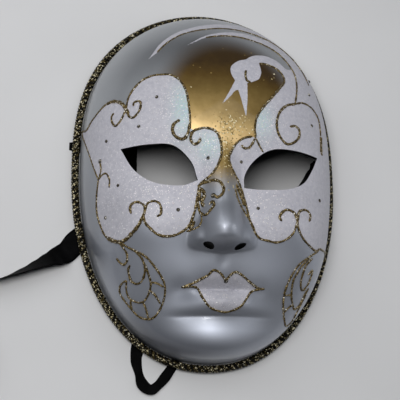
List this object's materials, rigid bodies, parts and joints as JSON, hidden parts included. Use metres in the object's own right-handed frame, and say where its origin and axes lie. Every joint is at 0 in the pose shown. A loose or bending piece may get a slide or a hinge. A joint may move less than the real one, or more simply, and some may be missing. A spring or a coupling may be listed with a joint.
{
  "type": "venetian mask",
  "caption": "Full-face venetian mask: a thin hollow shell with open eyes, lying on its rim, edged with a plaited cord and tied by flat ribbons.",
  "frame": {"origin": "on the surface that the rim rests on, under the middle of the braided outline", "axes": "+X across the face towards the wearer's left, +Y from chin to forehead, +Z out of the face to the tip of the nose"},
  "size_m": [0.2877, 0.2592, 0.084],
  "materials": {
    "painted_shell": "satin pearl silver paint with airbrushed gold and fields of white paint with fine iridescent glitter, black inside",
    "gold_glitter": "raised gold glitter line",
    "gold_black_cord": "plaited gold metallic and black thread",
    "black_satin_ribbon": "black satin ribbon"
  },
  "bodies": {
    "root": {"mask_shell": "painted_shell", "edge_braid": "gold_black_cord", "right_tie": "black_satin_ribbon", "right_tie_coil": "black_satin_ribbon", "left_tie": "black_satin_ribbon", "left_tie_coil": "black_satin_ribbon"}
  },
  "joints": []
}
